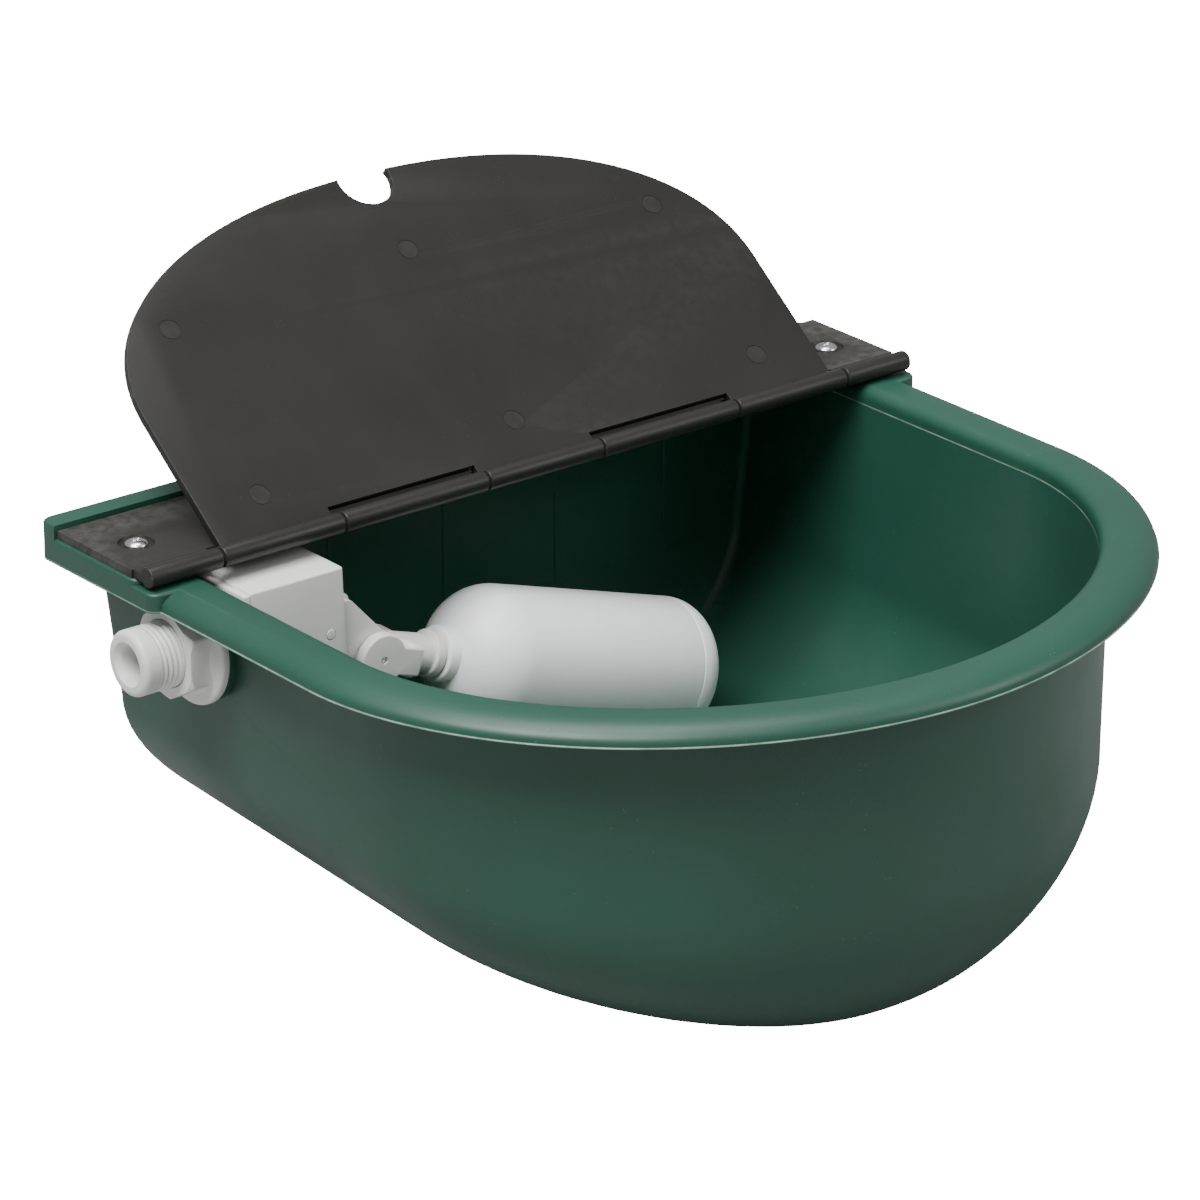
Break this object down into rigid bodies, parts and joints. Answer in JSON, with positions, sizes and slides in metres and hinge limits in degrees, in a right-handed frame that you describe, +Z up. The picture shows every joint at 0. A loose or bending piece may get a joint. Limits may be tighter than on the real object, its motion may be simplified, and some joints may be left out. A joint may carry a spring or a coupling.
{
  "type": "livestock drinking bowl",
  "caption": "Wall-mounted plastic drinking bowl with a float valve, a threaded side inlet and a hinged cover flap that folds back.",
  "frame": {"origin": "centre of the two wall holes, on the back face", "axes": "+X right, +Y into the wall, +Z up; the inlet points along -X and the bowl's curved front along -Y"},
  "size_m": [0.3117, 0.3043, 0.1971],
  "materials": {
    "bowl_green": "satin moulded polypropylene",
    "black_plastic": "satin moulded, lightly marked",
    "white_plastic": "natural white acetal, satin",
    "float_plastic": "natural polyethylene, slightly translucent",
    "zinc": "bright zinc plating",
    "jet_steel": "turned stainless steel",
    "seal_rubber": "matt rubber"
  },
  "bodies": {
    "bowl": {"bowl": "bowl_green", "cover_plate": "black_plastic", "hinge_pin": "zinc", "cover_screws": "zinc", "valve_body": "white_plastic", "lock_nut": "white_plastic", "wall_gasket": "seal_rubber", "nozzle": "jet_steel", "nozzle_ring": "seal_rubber", "splash_cover": "white_plastic"},
    "flap": {"cover_flap": "black_plastic"},
    "float": {"float_arm": "white_plastic", "pivot_pin": "zinc", "float_shell": "float_plastic", "float_cap": "float_plastic"},
    "plunger": {"plunger": "white_plastic", "plunger_washer": "seal_rubber"}
  },
  "joints": [
    {"name": "flap_hinge", "type": "hinge", "parent": "bowl", "child": "flap", "pos_m": [0, -0.056, 0.022], "axis": [1, 0, 0], "range_deg": [0, 142.6]},
    {"name": "float_pivot", "type": "hinge", "parent": "bowl", "child": "float", "pos_m": [-0.07156, -0.056, -0.022], "axis": [0, -1, 0], "range_deg": [0, 17.78]},
    {"name": "plunger_slide", "type": "slide", "parent": "bowl", "child": "plunger", "axis": [-1, 0, 0], "range_m": [0, 0.0057]}
  ],
  "couplings": [
    {"joint": "plunger_slide", "follows": "float_pivot", "m_per_rad": 0.018}
  ]
}
